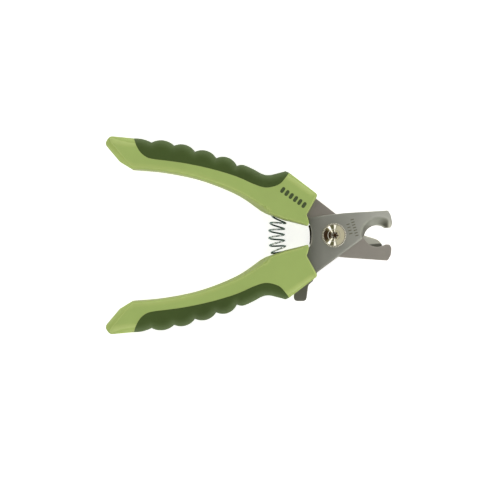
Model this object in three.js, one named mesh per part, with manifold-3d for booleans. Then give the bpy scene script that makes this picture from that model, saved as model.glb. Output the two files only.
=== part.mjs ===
// Plier-type nail clipper for pets. Two stamped blades cross at a pivot bolt, each with a tang moulded
// into a two-colour handle; a fanned coil spring holds the handles open, and a swing-out safety stop
// turns on the same bolt behind the blades.
//
// Millimetres. The origin is on the pivot axis, on the plane that the clipper lies on. +X points to the
// jaws and +Z out of the front face. The two handles are mirror images in Y, and the blades nearly so:
// the front blade has the upper jaw and the lower handle, the rear blade the lower jaw and upper handle.
import * as THREE from 'three';
import { mergeVertices } from 'three/addons/utils/BufferGeometryUtils.js';
import Module from 'manifold-3d';

// ---- Driving dimensions ----
const UPPER = 1;
const LOWER = -1;

const HANDLE_THICKNESS = 13;
const HANDLE_EDGE_DEPTH = 1.6; // how far down the rounded edge reaches
const HANDLE_EDGE_WIDTH = 1.2; // how far in the rounded edge reaches
const MID = HANDLE_THICKNESS / 2; // height of the plane where the two blades slide on each other

const BLADE_THICKNESS = 2.3;
const BLADE_SLIDE_GAP = 0.05; // from each blade to the sliding plane
const FRONT_BLADE_BOTTOM = MID + BLADE_SLIDE_GAP;
const FRONT_BLADE_TOP = FRONT_BLADE_BOTTOM + BLADE_THICKNESS;
const REAR_BLADE_TOP = MID - BLADE_SLIDE_GAP;
const REAR_BLADE_BOTTOM = REAR_BLADE_TOP - BLADE_THICKNESS;

const STACK_GAP = 0.05; // between the pieces that lie on each other along the bolt
const SPACER_THICKNESS = 0.55;
const STOP_THICKNESS = 1.2;
const WAVE_WASHER_HEIGHT = 0.5;
const TENSION_WASHER_HEIGHT = 0.5;
const NUT_HEIGHT = 2.25;

const BOLT_RADIUS = 3;
const BORE_RADIUS = 3.15; // of everything that turns on the bolt
const BOLT_HEAD_RADIUS = 7;
const WASHER_RADIUS = 6;
const NUT_RADIUS = 6.25;
const NUT_TOOTH_DEPTH = 0.35;
const NUT_TEETH = 44;
const STAKE_POINTS = 6;

const MOULD_GAP = 0.15; // left all round a tang and between the two colours of a handle
const SEAM_GAP = 0.12;
const TONGUE_HALF_HEIGHT = 3.4; // of the hard core inside the soft grip
const RELIEF_HEIGHT = MID - 2.7; // the lower handle is hollowed up to here, for the stop's lever
const RELIEF_RADIUS = 39.6;
const RELIEF_FROM = 213; // degrees about the pivot
const RELIEF_TO = 290;

const SPRING_PATH_RADIUS = 29.2; // the spring's centre line is an arc about the pivot
const SPRING_HALF_ANGLE = 24.2; // degrees either side of the -X axis
const SPRING_COIL_RADIUS = 3.95;
const SPRING_WIRE_RADIUS = 0.45;
const SPRING_OPEN_TURNS = 6.5;
const SPRING_CLOSED_TURNS = 1; // at each end
const SPRING_CLOSED_PITCH = 2.6; // degrees a turn
const SPRING_FIRST_SPIN = 0.12; // where on its turn the wire begins, in turns from the outermost place
const POCKET_RADIUS = 4.8;
const POCKET_SEAT_ANGLE = 25.2;
const POCKET_LENGTH = 12;
const POCKET_POST_RADIUS = 2.4;
const POCKET_POST_LENGTH = 2.6;

const ROUND_SIDES = 48;
const CORNER_STEPS = 4;

const degrees = THREE.MathUtils.degToRad;

// ---- Solids: closed three.js meshes, joined and cut ----
const wasm = await Module();
wasm.setup();

function toSolid(geometry) {
  geometry.deleteAttribute('normal');
  geometry.deleteAttribute('uv');
  const merged = mergeVertices(geometry, 1e-4);
  const corners = merged.index.array;
  const kept = [];
  for (let i = 0; i < corners.length; i += 3) {
    const [a, b, c] = corners.slice(i, i + 3);
    if (a !== b && b !== c && c !== a) kept.push(a, b, c);
  }
  const mesh = new wasm.Mesh({
    numProp: 3,
    vertProperties: new Float32Array(merged.attributes.position.array),
    triVerts: new Uint32Array(kept),
  });
  return new wasm.Manifold(mesh);
}

function toGeometry(solid) {
  const mesh = solid.getMesh();
  const geometry = new THREE.BufferGeometry();
  geometry.setAttribute('position', new THREE.BufferAttribute(mesh.vertProperties, 3));
  geometry.setIndex(new THREE.BufferAttribute(mesh.triVerts, 1));
  geometry.computeVertexNormals();
  return geometry;
}

// A flat plate of the given outline, from one height to another, with its edges rounded if asked.
function plate(outline, bottom, top, edgeDepth = 0, edgeWidth = 0) {
  const shape = new THREE.Shape(outline.map(([x, y]) => new THREE.Vector2(x, y)));
  const geometry = new THREE.ExtrudeGeometry(shape, {
    depth: top - bottom - 2 * edgeDepth,
    bevelEnabled: edgeDepth > 0,
    bevelThickness: edgeDepth,
    bevelSize: edgeWidth,
    bevelOffset: -edgeWidth,
    bevelSegments: 2,
  });
  geometry.translate(0, 0, bottom + edgeDepth);
  return toSolid(geometry);
}

// A body turned about the Z axis from a profile of [radius, height] places, bottom first.
function turned(profile) {
  const points = profile.map(([radius, height]) => new THREE.Vector2(radius, height));
  const geometry = new THREE.LatheGeometry(points, ROUND_SIDES);
  geometry.rotateX(Math.PI / 2);
  return toSolid(geometry);
}

function rod(radius, bottom, top, sides = ROUND_SIDES) {
  const geometry = new THREE.CylinderGeometry(radius, radius, top - bottom, sides);
  geometry.rotateX(Math.PI / 2);
  geometry.translate(0, 0, (bottom + top) / 2);
  return toSolid(geometry);
}

function rodAt([x, y], radius, bottom, top) {
  const geometry = new THREE.CylinderGeometry(radius, radius, top - bottom, ROUND_SIDES / 2);
  geometry.rotateX(Math.PI / 2);
  geometry.translate(x, y, (bottom + top) / 2);
  return toSolid(geometry);
}

// ---- Outlines: lists of [x, y] places ----
function mirrored(outline, side) {
  return outline.map(([x, y]) => [x, side * y]);
}

// Places along a smooth curve through the given ones.
function smooth(places, steps) {
  const curve = new THREE.SplineCurve(places.map(([x, y]) => new THREE.Vector2(x, y)));
  return curve.getPoints(steps).map((point) => [point.x, point.y]);
}

// A circular arc about a centre, between two directions in degrees.
function arc([x, y], radius, from, to, steps) {
  return Array.from({ length: steps + 1 }, (_, i) => {
    const angle = degrees(from + ((to - from) * i) / steps);
    return [x + radius * Math.cos(angle), y + radius * Math.sin(angle)];
  });
}

// A circular arc that rises to the left of the way from one place to another.
function bulge([x0, y0], [x1, y1], rise, steps) {
  const half = Math.hypot(x1 - x0, y1 - y0) / 2;
  const radius = (half * half + rise * rise) / (2 * rise);
  const [alongX, alongY] = [(x1 - x0) / (2 * half), (y1 - y0) / (2 * half)];
  const sink = radius - rise;
  const centre = [(x0 + x1) / 2 + alongY * sink, (y0 + y1) / 2 - alongX * sink];
  const start = THREE.MathUtils.radToDeg(Math.atan2(y0 - centre[1], x0 - centre[0]));
  const sweep = THREE.MathUtils.radToDeg(2 * Math.asin(half / radius));
  return arc(centre, radius, start, start - sweep, steps);
}

// A closed outline whose corners may each carry a radius as their third number.
function rounded(places) {
  return places.flatMap(([x, y, radius = 0], i) => {
    if (!radius) return [[x, y]];
    const corner = new THREE.Vector2(x, y);
    const last = places.at(i - 1);
    const next = places[(i + 1) % places.length];
    const back = new THREE.Vector2(last[0], last[1]).sub(corner).normalize();
    const onward = new THREE.Vector2(next[0], next[1]).sub(corner).normalize();
    const reach = radius / Math.tan(Math.acos(back.dot(onward)) / 2);
    const bend = new THREE.QuadraticBezierCurve(
      corner.clone().addScaledVector(back, reach),
      corner,
      corner.clone().addScaledVector(onward, reach),
    );
    return bend.getPoints(CORNER_STEPS).map((point) => [point.x, point.y]);
  });
}

// The outline moved outwards by a distance all round.
function grown(outline, distance) {
  const points = outline.map(([x, y]) => new THREE.Vector2(x, y));
  const outward = THREE.ShapeUtils.isClockWise(points) ? -1 : 1;
  return points.map((point, i) => {
    const arriving = point.clone().sub(points.at(i - 1)).normalize();
    const leaving = points[(i + 1) % points.length].clone().sub(point).normalize();
    const reach = (outward * distance) / (1 + arriving.dot(leaving));
    return [
      point.x + (arriving.y + leaving.y) * reach,
      point.y - (arriving.x + leaving.x) * reach,
    ];
  });
}

// ---- Handles, drawn for the upper one ----
const GRIP_START = [-101.9, 49.4];
const GRIP_END = [-22.9, 31.85];
const FINGER_VALLEYS = [GRIP_START, [-92.9, 47.3], [-81.4, 45.7], [-70.8, 42.6], [-60, 39.3], [-49.5, 35.4]];
const FINGER_RISES = [0.6, 1.9, 2, 2.2, 2.4];

const fingerRidges = FINGER_RISES.flatMap((rise, i) => {
  return bulge(FINGER_VALLEYS[i], FINGER_VALLEYS[i + 1], rise, 7).slice(0, -1);
});
const thumbRest = smooth([
  [-49.5, 35.4], [-46.3, 35.9], [-41.1, 33.7], [-36.4, 31.2], [-32.9, 30.7], [-29.2, 31.5], [-24.7, 32.7],
], 16);
const palmSide = smooth([[-37.3, 12.5], [-49.7, 20.85], [-68, 28.1], [-86.4, 32], [-102.7, 33.5]], 16);

const HANDLE = rounded([
  [-116.9, 46.6, 2.6],
  [-114, 50.4, 2.8],
  ...fingerRidges,
  ...thumbRest,
  GRIP_END,
  [-8.3, 20.6, 1.8],
  [-14, 10.4],
  [-13, 6.7],
  [-13.5, 4.8],
  [-25.2, 7.7],
  [-34.6, 11.05],
  ...palmSide,
  [-109.1, 37.4, 4],
]);

// The soft grip is everything outside this seam.
const gripSeam = smooth([
  [-102.1, 51.5], [-101.8, 49.4], [-100.5, 45.6], [-98.3, 42], [-95.2, 39.6], [-91.5, 38.6],
  [-83.4, 37.6], [-74.2, 36.2], [-61.9, 33.5], [-49.7, 29.8], [-40.5, 25.8], [-34.4, 24.2],
  [-28.3, 25.7], [-22.9, 31.8], [-21.2, 33.9],
], 42);
const GRIP_REGION = [...gripSeam, [-20, 60], [-104, 60]];

// The hard core reaches into the grip as a tongue.
const TONGUE = [
  [-93, 35], ...smooth([[-93, 42.4], [-81, 42], [-70, 39], [-60, 36], [-49.5, 32.2]], 8),
  [-41, 29.2], [-33, 27.4], [-30.5, 27], [-30.5, 21], [-41, 21], [-60, 30], [-80, 33.5],
];

// ---- Blades, drawn with the jaw above and the tang below, as the front one lies ----
const PEG_PLACES = [[-30, 20.3], [-55, 28.5]];
const PEG_RADII = [2, 1.4];

const tangBack = smooth(
  [[-12.6, 6.4], [-11.8, 4.4], [-11.25, 1.5], [-11.2, -2], [-11.65, -4.4], [-13.4, -7.6]],
  12,
);
const tangInside = smooth([[-34, -16], [-50, -23.5], [-75, -33]], 8);

// The notch that holds the nail is an arc, open from one direction in degrees to the other.
function bladeOutline({ notch, tip, armRoot, heel }) {
  return rounded([
    ...arc(notch.centre, notch.radius, notch.heelAt, notch.tipAt, 14),
    ...tip,
    [5.4, 11.4],
    [-13, 9, 0.5],
    ...tangBack,
    [-20, -14],
    ...tangInside,
    [-77, -35.6],
    ...smooth([[-75, -37.5], [-50, -30], [-34, -24.9], [-20, -24.9], armRoot], 14),
    heel,
  ]);
}

const FRONT_BLADE = bladeOutline({
  notch: { centre: [21.8, -1.5], radius: 6.5, heelAt: 166, tipAt: 50 },
  tip: [[26.6, 3.75], [28.9, 3.8, 0.9], [29.9, 6], [29.2, 10], [27.7, 12.8, 1.2]],
  armRoot: [-8.8, -19.2],
  heel: [14, -2.1],
});

const REAR_BLADE = bladeOutline({
  notch: { centre: [22.3, -1.4], radius: 7.3, heelAt: 166, tipAt: 62 },
  tip: [[26.6, 4.6], [28.6, 4.6, 0.9], [29.7, 6.4], [29.3, 10.2], [27.7, 13, 1.2]],
  armRoot: [-9, -18.9],
  heel: [14.2, -1],
});

// ---- Safety stop: hub, guard behind the nail opening, and finger lever below the lower handle ----
const STOP_HUB_RADIUS = 8;
const STOP = rounded([
  ...arc([0, 0], STOP_HUB_RADIUS, 50, 135, 10),
  [-10.4, 6.8, 1],
  ...smooth([
    [-12.8, 4.9], [-12.3, 3], [-12.05, 0.5], [-12.05, -2.6], [-12.2, -4.6], [-11, -7.4], [-10.4, -10.4],
    [-14, -17.4], [-19.8, -25],
  ], 24),
  [-20.2, -30.3],
  [-20.4, -33.8, 2.2],
  [-13.9, -33.8, 2.2],
  [-12.9, -26.3],
  [-12.5, -25.3],
  [-10.6, -23.6],
  ...smooth([[-6, -15], [-1, -10.5], [8, -9.6], [17, -11.9], [24, -11.2]], 12),
  ...smooth([[26, -8], [25.3, -5.4], [24.5, -3.8], [22.9, -2.2], [19.9, -1.1], [15.4, 0.3]], 10),
  [9.5, 3.8],
]);

// ---- Heights along the bolt ----
const spacerTop = REAR_BLADE_BOTTOM - STACK_GAP;
const stopTop = spacerTop - SPACER_THICKNESS - STACK_GAP;
const waveTop = stopTop - STOP_THICKNESS - STACK_GAP;
const headTop = waveTop - WAVE_WASHER_HEIGHT - STACK_GAP;
const tensionBottom = FRONT_BLADE_TOP + STACK_GAP;
const nutBottom = tensionBottom + TENSION_WASHER_HEIGHT + STACK_GAP;
const nutTop = nutBottom + NUT_HEIGHT;

// ---- Pieces ----
function makeBlade(outline, side, bottom) {
  const top = bottom + BLADE_THICKNESS;
  let blade = plate(mirrored(outline, side), bottom, top);
  blade = blade.subtract(rod(BORE_RADIUS, bottom - 1, top + 1));
  PEG_PLACES.forEach(([x, y], i) => {
    blade = blade.subtract(rodAt([x, -side * y], PEG_RADII[i] + MOULD_GAP, bottom - 1, top + 1));
  });
  return blade;
}

// The space that a blade's tang takes in its handle, with the handle's pegs left standing in it.
function tangPocket(blade, side, bladeBottom) {
  const bottom = bladeBottom - MOULD_GAP;
  const top = bladeBottom + BLADE_THICKNESS + MOULD_GAP;
  let space = plate(mirrored(grown(blade, MOULD_GAP), -side), bottom, top);
  PEG_PLACES.forEach(([x, y], i) => {
    space = space.subtract(rodAt([x, side * y], PEG_RADII[i], bottom - 1, top + 1));
  });
  return space;
}

// The blind hole that holds one end of the spring, with a post that the coil sits over.
function springPocket(side) {
  const seat = degrees(POCKET_SEAT_ANGLE);
  const tilt = new THREE.Matrix4().makeRotationZ(seat * -side);
  const radius = SPRING_PATH_RADIUS;
  const place = (pocketRadius, length) => {
    const geometry = new THREE.CylinderGeometry(pocketRadius, pocketRadius, length, 24);
    geometry.translate(-radius, (-side * length) / 2, MID);
    geometry.applyMatrix4(tilt);
    return toSolid(geometry);
  };
  return place(POCKET_RADIUS, POCKET_LENGTH).subtract(place(POCKET_POST_RADIUS, POCKET_POST_LENGTH));
}

function leverRelief() {
  const sector = [[0, 0], ...arc([0, 0], RELIEF_RADIUS, RELIEF_FROM, RELIEF_TO, 16)];
  return plate(sector, -1, RELIEF_HEIGHT);
}

function handleBlank(side) {
  return plate(mirrored(HANDLE, side), 0, HANDLE_THICKNESS, HANDLE_EDGE_DEPTH, HANDLE_EDGE_WIDTH);
}

function makeHandle(side, blade, bladeBottom) {
  const blank = handleBlank(side);
  const hardPart = blank.subtract(plate(mirrored(grown(GRIP_REGION, SEAM_GAP), side), -1, HANDLE_THICKNESS + 1));
  const tongue = plate(mirrored(TONGUE, side), MID - TONGUE_HALF_HEIGHT, MID + TONGUE_HALF_HEIGHT);
  let handle = hardPart.add(tongue);
  handle = handle.subtract(tangPocket(blade, side, bladeBottom));
  handle = handle.subtract(springPocket(side));
  return side === LOWER ? handle.subtract(leverRelief()) : handle;
}

function makeGrip(side) {
  const reach = TONGUE_HALF_HEIGHT + MOULD_GAP;
  const cavity = plate(mirrored(grown(TONGUE, MOULD_GAP), side), MID - reach, MID + reach);
  const region = plate(mirrored(GRIP_REGION, side), -1, HANDLE_THICKNESS + 1);
  const grip = handleBlank(side).intersect(region).subtract(cavity);
  return side === LOWER ? grip.subtract(leverRelief()) : grip;
}

function makePivotBolt() {
  const chamfer = 0.4;
  const shankTop = nutTop - 1.1;
  const body = turned([
    [0, 0],
    [BOLT_HEAD_RADIUS - chamfer, 0],
    [BOLT_HEAD_RADIUS, chamfer],
    [BOLT_HEAD_RADIUS, headTop - chamfer],
    [BOLT_HEAD_RADIUS - chamfer, headTop],
    [BOLT_RADIUS, headTop],
    [BOLT_RADIUS, shankTop],
    [0, shankTop],
  ]);
  const star = Array.from({ length: 2 * STAKE_POINTS }, (_, i) => {
    const radius = i % 2 ? BOLT_RADIUS * 0.62 : BOLT_RADIUS * 0.96;
    const angle = (Math.PI * i) / STAKE_POINTS;
    return [radius * Math.cos(angle), radius * Math.sin(angle)];
  });
  return body.add(plate(star, shankTop - 0.5, nutTop - 0.5));
}

function makeCapNut() {
  const rimWidth = 0.9;
  const dishDepth = 0.55;
  const teeth = Array.from({ length: 2 * NUT_TEETH }, (_, i) => {
    const radius = i % 2 ? NUT_RADIUS - NUT_TOOTH_DEPTH : NUT_RADIUS;
    const angle = (Math.PI * i) / NUT_TEETH;
    return [radius * Math.cos(angle), radius * Math.sin(angle)];
  });
  const dish = turned([
    [0, nutTop - dishDepth],
    [BOLT_RADIUS + 0.5, nutTop - dishDepth],
    [NUT_RADIUS - rimWidth, nutTop],
    [NUT_RADIUS - rimWidth, nutTop + 1],
    [0, nutTop + 1],
  ]);
  return plate(teeth, nutBottom, nutTop).subtract(dish).subtract(rod(BORE_RADIUS, nutBottom - 1, nutTop + 1));
}

function makeFlatWasher(bottom, height) {
  return turned([
    [BORE_RADIUS, bottom],
    [WASHER_RADIUS, bottom],
    [WASHER_RADIUS, bottom + height],
    [BORE_RADIUS, bottom + height],
    [BORE_RADIUS, bottom],
  ]);
}

// A shallow cone of sheet steel that keeps the blades pressed together.
function makeTensionWasher() {
  const sheet = 0.3;
  const low = tensionBottom;
  const high = tensionBottom + TENSION_WASHER_HEIGHT;
  return turned([
    [BORE_RADIUS, high - sheet],
    [WASHER_RADIUS, low],
    [WASHER_RADIUS, low + sheet],
    [BORE_RADIUS, high],
    [BORE_RADIUS, high - sheet],
  ]);
}

// A ring of sheet steel bent into three waves, which keeps the stop from swinging by itself.
function makeWaveWasher() {
  const sheet = 0.3;
  const waves = 3;
  const rise = (WAVE_WASHER_HEIGHT - sheet) / 2;
  const middle = waveTop - WAVE_WASHER_HEIGHT / 2;
  const profile = [
    [BORE_RADIUS, -sheet / 2],
    [WASHER_RADIUS, -sheet / 2],
    [WASHER_RADIUS, sheet / 2],
    [BORE_RADIUS, sheet / 2],
    [BORE_RADIUS, -sheet / 2],
  ];
  const geometry = new THREE.LatheGeometry(profile.map(([r, z]) => new THREE.Vector2(r, z)), ROUND_SIDES);
  geometry.rotateX(Math.PI / 2);
  const position = geometry.attributes.position;
  for (let i = 0; i < position.count; i += 1) {
    const angle = Math.atan2(position.getY(i), position.getX(i));
    position.setZ(i, position.getZ(i) + middle + rise * Math.sin(waves * angle));
  }
  return toSolid(geometry);
}

function makeSafetyStop() {
  const bottom = stopTop - STOP_THICKNESS;
  return plate(STOP, bottom, stopTop).subtract(rod(BORE_RADIUS, bottom - 1, stopTop + 1));
}

// The wire's centre line: a helix about the arc, with closed turns at both ends.
class SpringWire extends THREE.Curve {
  getPoint(t, target = new THREE.Vector3()) {
    const turns = SPRING_OPEN_TURNS + 2 * SPRING_CLOSED_TURNS;
    const turn = t * turns;
    const closedSpan = SPRING_CLOSED_TURNS * SPRING_CLOSED_PITCH;
    const openSpan = 2 * SPRING_HALF_ANGLE - 2 * closedSpan;
    const openPitch = openSpan / SPRING_OPEN_TURNS;
    const intoOpen = THREE.MathUtils.clamp(turn - SPRING_CLOSED_TURNS, 0, SPRING_OPEN_TURNS);
    const inClosed = turn - intoOpen;
    const along = degrees(inClosed * SPRING_CLOSED_PITCH + intoOpen * openPitch - SPRING_HALF_ANGLE);
    const spin = (turn + SPRING_FIRST_SPIN) * 2 * Math.PI;
    const radius = SPRING_PATH_RADIUS + SPRING_COIL_RADIUS * Math.cos(spin);
    return target.set(
      -radius * Math.cos(along),
      radius * Math.sin(along),
      MID + SPRING_COIL_RADIUS * Math.sin(spin),
    );
  }
}

function makeReturnSpring() {
  const turns = SPRING_OPEN_TURNS + 2 * SPRING_CLOSED_TURNS;
  const section = new THREE.Shape(
    arc([0, 0], SPRING_WIRE_RADIUS, 0, 360, 6).slice(0, -1).map(([x, y]) => new THREE.Vector2(x, y)),
  );
  const geometry = new THREE.ExtrudeGeometry(section, {
    steps: turns * 14,
    extrudePath: new SpringWire(),
    bevelEnabled: false,
  });
  return toSolid(geometry);
}

// ---- Finishes ----
const moulded = (color) => ({ color, roughness: 0.55, metalness: 0 });
const rubbery = (color) => ({ color, roughness: 0.8, metalness: 0 });
const steel = (color, roughness) => ({ color, roughness, metalness: 1 });
const LIGHT_GREEN = moulded('#97ab62');
const DARK_GREEN = rubbery('#465630');
const BLADE_STEEL = steel('#8a8a82', 0.4);
const PLATED = steel('#c8c3b4', 0.12);
const SPRING_STEEL = steel('#6f756c', 0.3);
const DARK_STEEL = steel('#62645a', 0.5);

// ---- Assembly ----
function piece(name, solid, finish) {
  const mesh = new THREE.Mesh(toGeometry(solid), new THREE.MeshStandardMaterial(finish));
  mesh.name = name;
  return mesh;
}

const frontLever = new THREE.Group();
frontLever.add(
  piece('front_blade', makeBlade(FRONT_BLADE, UPPER, FRONT_BLADE_BOTTOM), BLADE_STEEL),
  piece('lower_handle', makeHandle(LOWER, FRONT_BLADE, FRONT_BLADE_BOTTOM), LIGHT_GREEN),
  piece('lower_grip', makeGrip(LOWER), DARK_GREEN),
  piece('pivot_bolt', makePivotBolt(), DARK_STEEL),
  piece('pivot_cap_nut', makeCapNut(), PLATED),
  piece('tension_washer', makeTensionWasher(), PLATED),
  piece('stop_spacer_washer', makeFlatWasher(spacerTop - SPACER_THICKNESS, SPACER_THICKNESS), DARK_STEEL),
  piece('wave_washer', makeWaveWasher(), DARK_STEEL),
  piece('return_spring', makeReturnSpring(), SPRING_STEEL),
);

const rearLever = new THREE.Group();
rearLever.add(
  piece('rear_blade', makeBlade(REAR_BLADE, LOWER, REAR_BLADE_BOTTOM), BLADE_STEEL),
  piece('upper_handle', makeHandle(UPPER, REAR_BLADE, REAR_BLADE_BOTTOM), LIGHT_GREEN),
  piece('upper_grip', makeGrip(UPPER), DARK_GREEN),
);

const stopLever = new THREE.Group();
stopLever.add(piece('safety_stop', makeSafetyStop(), DARK_STEEL));

const clipper = new THREE.Group();
clipper.add(frontLever, rearLever, stopLever);

export default clipper;
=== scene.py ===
"""Looks of the plier-type nail clipper: detailed meshes, procedural materials, camera, floor and light.

Outlines are in millimetres in the row's frame, as in the CAD source: origin on the pivot axis at the
resting plane, +X to the jaws, +Z out of the front face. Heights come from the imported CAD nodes.
"""
import math

import bmesh
import bpy
import numpy as np
from mathutils import Matrix, Vector
from mathutils.geometry import delaunay_2d_cdt


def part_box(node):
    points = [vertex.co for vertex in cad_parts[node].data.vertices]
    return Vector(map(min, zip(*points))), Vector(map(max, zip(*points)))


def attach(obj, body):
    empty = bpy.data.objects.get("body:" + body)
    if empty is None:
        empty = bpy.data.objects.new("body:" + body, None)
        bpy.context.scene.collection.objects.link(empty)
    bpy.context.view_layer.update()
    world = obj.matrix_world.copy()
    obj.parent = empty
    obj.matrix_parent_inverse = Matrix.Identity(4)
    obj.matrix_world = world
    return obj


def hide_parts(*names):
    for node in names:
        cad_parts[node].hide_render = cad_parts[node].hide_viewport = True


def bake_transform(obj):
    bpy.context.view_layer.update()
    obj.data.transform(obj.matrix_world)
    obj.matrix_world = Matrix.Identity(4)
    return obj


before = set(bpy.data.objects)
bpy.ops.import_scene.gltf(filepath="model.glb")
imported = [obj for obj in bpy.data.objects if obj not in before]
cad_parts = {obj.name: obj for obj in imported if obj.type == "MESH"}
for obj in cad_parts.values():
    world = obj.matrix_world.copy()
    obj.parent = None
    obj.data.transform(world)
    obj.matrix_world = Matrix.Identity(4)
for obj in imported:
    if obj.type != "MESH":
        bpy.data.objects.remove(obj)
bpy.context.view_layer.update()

MM = 0.001


def heights(node):
    """Lowest and highest z of a CAD node, in millimetres."""
    low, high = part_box(node)
    return low[2] / MM, high[2] / MM


# -------- outlines

def smooth(places, steps):
    """Places along a uniform Catmull-Rom curve through the given ones."""
    p = np.array(places, float)
    p = np.vstack([p[0], p, p[-1]])
    result = []
    spans = len(places) - 1
    for i in range(steps + 1):
        at = spans * i / steps
        k = min(int(at), spans - 1)
        t = at - k
        a, b, c, d = p[k], p[k + 1], p[k + 2], p[k + 3]
        v0, v1 = (c - a) / 2, (d - b) / 2
        point = (2 * b - 2 * c + v0 + v1) * t**3 + (-3 * b + 3 * c - 2 * v0 - v1) * t**2 + v0 * t + b
        result.append((point[0], point[1]))
    return result


def arc(centre, radius, start, end, steps):
    """Places on a circular arc between two directions in degrees."""
    angles = np.radians(np.linspace(start, end, steps + 1))
    return [(centre[0] + radius * math.cos(a), centre[1] + radius * math.sin(a)) for a in angles]


def bulge(p, q, rise, steps):
    """Places on the arc from p to q that rises to the left of the way."""
    p, q = np.array(p, float), np.array(q, float)
    half = np.linalg.norm(q - p) / 2
    radius = (half**2 + rise**2) / (2 * rise)
    along = (q - p) / (2 * half)
    centre = (p + q) / 2 + np.array([along[1], -along[0]]) * (radius - rise)
    start = math.degrees(math.atan2(*(p - centre)[::-1]))
    sweep = math.degrees(2 * math.asin(half / radius))
    return arc(centre, radius, start, start - sweep, steps)


def edge(places, first, last=None):
    """Places with the width and depth of the rounded edge there, running from first to last."""
    first = np.broadcast_to(first, 2)
    shares = np.linspace(0, 1, len(places))
    sizes = [first + (np.broadcast_to(first if last is None else last, 2) - first) * k for k in shares]
    return [(x, y, *size, 0.0) for (x, y), size in zip(places, sizes)]


def rounded(places):
    """A closed outline of x, y, edge width, edge depth, from places that carry a corner radius as well."""
    result = []
    for i, (x, y, *size, radius) in enumerate(places):
        if not radius:
            result.append((x, y, *size))
            continue
        corner = np.array([x, y])
        before, after = places[i - 1], places[(i + 1) % len(places)]
        back = np.array(before[:2]) - corner
        ahead = np.array(after[:2]) - corner
        back, ahead = back / np.linalg.norm(back), ahead / np.linalg.norm(ahead)
        reach = radius / math.tan(math.acos(np.clip(back @ ahead, -1, 1)) / 2)
        start, end = corner + back * reach, corner + ahead * reach
        for t in np.linspace(0, 1, 9):
            bend = (1 - t) ** 2 * start + 2 * t * (1 - t) * corner + t * t * end
            result.append((bend[0], bend[1], *size))
    return result


LEAST_STRETCH = 0.02  # shorter ones are left out of an outline


def dense(outline, step):
    """The closed outline counter-clockwise, with no stretch longer than step."""
    p = np.array(outline, float)
    nxt = np.roll(p, -1, axis=0)
    if np.sum(p[:, 0] * nxt[:, 1] - nxt[:, 0] * p[:, 1]) < 0:
        p = p[::-1]
        nxt = np.roll(p, -1, axis=0)
    result = []
    for a, b in zip(p, nxt):
        length = np.linalg.norm(b[:2] - a[:2])
        if length < LEAST_STRETCH:
            continue
        count = max(1, math.ceil(length / step))
        result += [a + (b - a) * k / count for k in range(count)]
    return np.array(result)


def inward(ring):
    """Unit normals of a counter-clockwise ring, pointing inwards."""
    d = np.roll(ring[:, :2], -1, axis=0) - np.roll(ring[:, :2], 1, axis=0)
    n = np.stack([-d[:, 1], d[:, 0]], axis=1)
    return n / np.linalg.norm(n, axis=1)[:, None]


def is_inside(points, ring):
    """Which points lie inside the ring."""
    x, y = points[:, 0][:, None], points[:, 1][:, None]
    ax, ay = ring[:, 0][None], ring[:, 1][None]
    bx, by = np.roll(ring[:, 0], -1)[None], np.roll(ring[:, 1], -1)[None]
    crosses = (ay > y) != (by > y)
    with np.errstate(divide="ignore", invalid="ignore"):
        at = ax + (y - ay) * (bx - ax) / (by - ay)
    return (np.sum(crosses & (x < at), axis=1) % 2).astype(bool)


def chunks(points):
    """The points in groups small enough to be handled at once."""
    return np.array_split(points, max(1, len(points) // 1500))


def to_edge(points, ring, closed=True):
    """Distance from each point to every stretch of the ring, and the stretch's other values there."""
    start, end = (ring, np.roll(ring, -1, axis=0)) if closed else (ring[:-1], ring[1:])
    a, ab = start[:, :2], (end - start)[:, :2]
    ap = points[:, None, :2] - a[None]
    s = np.clip(np.sum(ap * ab[None], axis=2) / np.maximum(np.sum(ab * ab, axis=1), 1e-12)[None], 0, 1)
    distance = np.linalg.norm(ap - s[..., None] * ab[None], axis=2)
    sizes = [start[None, :, k] + s * (end - start)[None, :, k] for k in range(2, ring.shape[1])]
    return distance, *sizes


def round_over(points, ring, closed=True, lead=0.0):
    """How far a rounded edge lies below the face at each point, and the least distance in edge widths.

    The lead is the share of an edge's depth that falls away early, as a parabola.
    """
    drops, nears = [], []
    for chunk in chunks(points):
        distance, width, depth = to_edge(chunk, ring, closed)
        near = distance / width
        t = np.clip(1 - near, 0, 1)
        curve = lead * t * t + (1 - lead) * (1 - np.sqrt(1 - t * t))
        drops.append((depth * curve).max(axis=1))
        nears.append(near.min(axis=1))
    return np.concatenate(drops), np.concatenate(nears)


# -------- meshes

SHARP = 35  # degrees between two faces from which their edge stays sharp
NO_POINTS = np.zeros((0, 2))
ROW_TO_PITCH = 0.866  # height of an equilateral triangle with sides of 1


def put(name, data):
    """A new object in the scene."""
    obj = bpy.data.objects.new(name, data)
    bpy.context.scene.collection.objects.link(obj)
    return obj


def to_object(name, verts, faces, sharp=SHARP):
    """A mesh object from millimetres, smooth but for edges sharper than the angle."""
    mesh = bpy.data.meshes.new(name)
    mesh.from_pydata([tuple(c * MM for c in v) for v in verts], [], faces)
    mesh.validate()
    mesh.shade_smooth()
    mesh.set_sharp_from_angle(angle=math.radians(sharp))
    return put(name, mesh)


def grid_points(ring, pitch, margin):
    """Points of a triangular grid inside the ring, at least a margin from it."""
    low, high = ring[:, :2].min(axis=0), ring[:, :2].max(axis=0)
    rows = np.arange(low[1], high[1], pitch * ROW_TO_PITCH)
    points = []
    for k, y in enumerate(rows):
        xs = np.arange(low[0] + (k % 2) * pitch / 2, high[0], pitch)
        points += [(x, y) for x in xs]
    points = np.array(points)
    points = points[is_inside(points, ring)]
    distance = np.concatenate([to_edge(chunk, ring)[0].min(axis=1) for chunk in chunks(points)])
    return points[distance > margin]


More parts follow.
